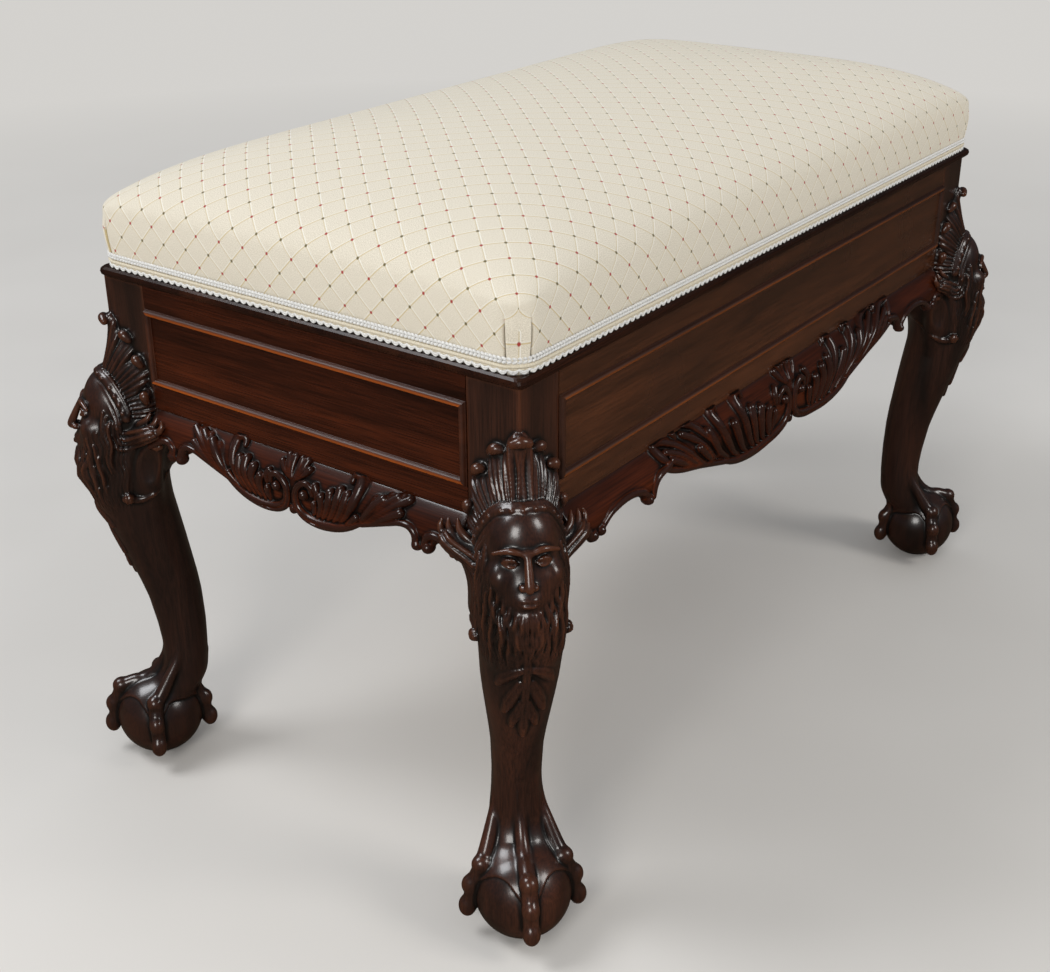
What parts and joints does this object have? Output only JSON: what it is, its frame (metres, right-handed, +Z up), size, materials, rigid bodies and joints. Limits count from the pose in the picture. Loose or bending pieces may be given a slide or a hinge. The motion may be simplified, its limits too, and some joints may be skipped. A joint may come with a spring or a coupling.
{
  "type": "window seat",
  "caption": "Carved mahogany window seat: panelled storage box on masked cabriole legs with ball-and-claw feet, under a hinged upholstered lid.",
  "frame": {"origin": "centre of the footprint on the floor", "axes": "+X along the long sides, -Y towards the front, +Z up"},
  "size_m": [0.8698, 0.5142, 0.5736],
  "materials": {
    "carved_mahogany": "carved mahogany, French polished, dark in the recesses",
    "bead_mahogany": "polished mahogany moulding, worn paler along its crest",
    "polished_mahogany": "figured mahogany, glossy French polish",
    "lid_mahogany": "polished mahogany board with a rounded nose",
    "well_timber": "plain unpolished timber",
    "hinge_brass": "aged brass",
    "stuffing": "hair and wadding",
    "trellis_fabric": "woven ivory upholstery with a small trellis pattern",
    "gimp_yarn": "woven gimp braid"
  },
  "bodies": {
    "frame": {"leg_front_left": "carved_mahogany", "leg_front_right": "carved_mahogany", "leg_rear_left": "carved_mahogany", "leg_rear_right": "carved_mahogany", "front_rail": "polished_mahogany", "right_rail": "polished_mahogany", "rear_rail": "polished_mahogany", "left_rail": "polished_mahogany", "front_apron": "carved_mahogany", "right_apron": "carved_mahogany", "rear_apron": "carved_mahogany", "left_apron": "carved_mahogany", "front_bead_top": "bead_mahogany", "front_bead_bottom": "bead_mahogany", "front_bead_start": "bead_mahogany", "front_bead_end": "bead_mahogany", "right_bead_top": "bead_mahogany", "right_bead_bottom": "bead_mahogany", "right_bead_start": "bead_mahogany", "right_bead_end": "bead_mahogany", "rear_bead_top": "bead_mahogany", "rear_bead_bottom": "bead_mahogany", "rear_bead_start": "bead_mahogany", "rear_bead_end": "bead_mahogany", "left_bead_top": "bead_mahogany", "left_bead_bottom": "bead_mahogany", "left_bead_start": "bead_mahogany", "left_bead_end": "bead_mahogany", "front_bearer": "well_timber", "right_bearer": "well_timber", "rear_bearer": "well_timber", "left_bearer": "well_timber", "bottom_board": "well_timber", "hinge_left_frame_leaf": "hinge_brass", "hinge_left_pin": "hinge_brass", "hinge_left_frame_screw_1": "hinge_brass", "hinge_left_frame_screw_2": "hinge_brass", "hinge_right_frame_leaf": "hinge_brass", "hinge_right_pin": "hinge_brass", "hinge_right_frame_screw_1": "hinge_brass", "hinge_right_frame_screw_2": "hinge_brass"},
    "lid": {"lid_board": "lid_mahogany", "seat_stuffing": "stuffing", "seat_cover": "trellis_fabric", "gimp_braid": "gimp_yarn", "hinge_left_lid_leaf": "hinge_brass", "hinge_left_lid_screw_1": "hinge_brass", "hinge_left_lid_screw_2": "hinge_brass", "hinge_right_lid_leaf": "hinge_brass", "hinge_right_lid_screw_1": "hinge_brass", "hinge_right_lid_screw_2": "hinge_brass"}
  },
  "joints": [
    {"name": "lid_hinge", "type": "hinge", "parent": "frame", "child": "lid", "pos_m": [0, 0.21605, 0.46715], "axis": [-1, 0, 0], "range_deg": [0, 95]}
  ]
}
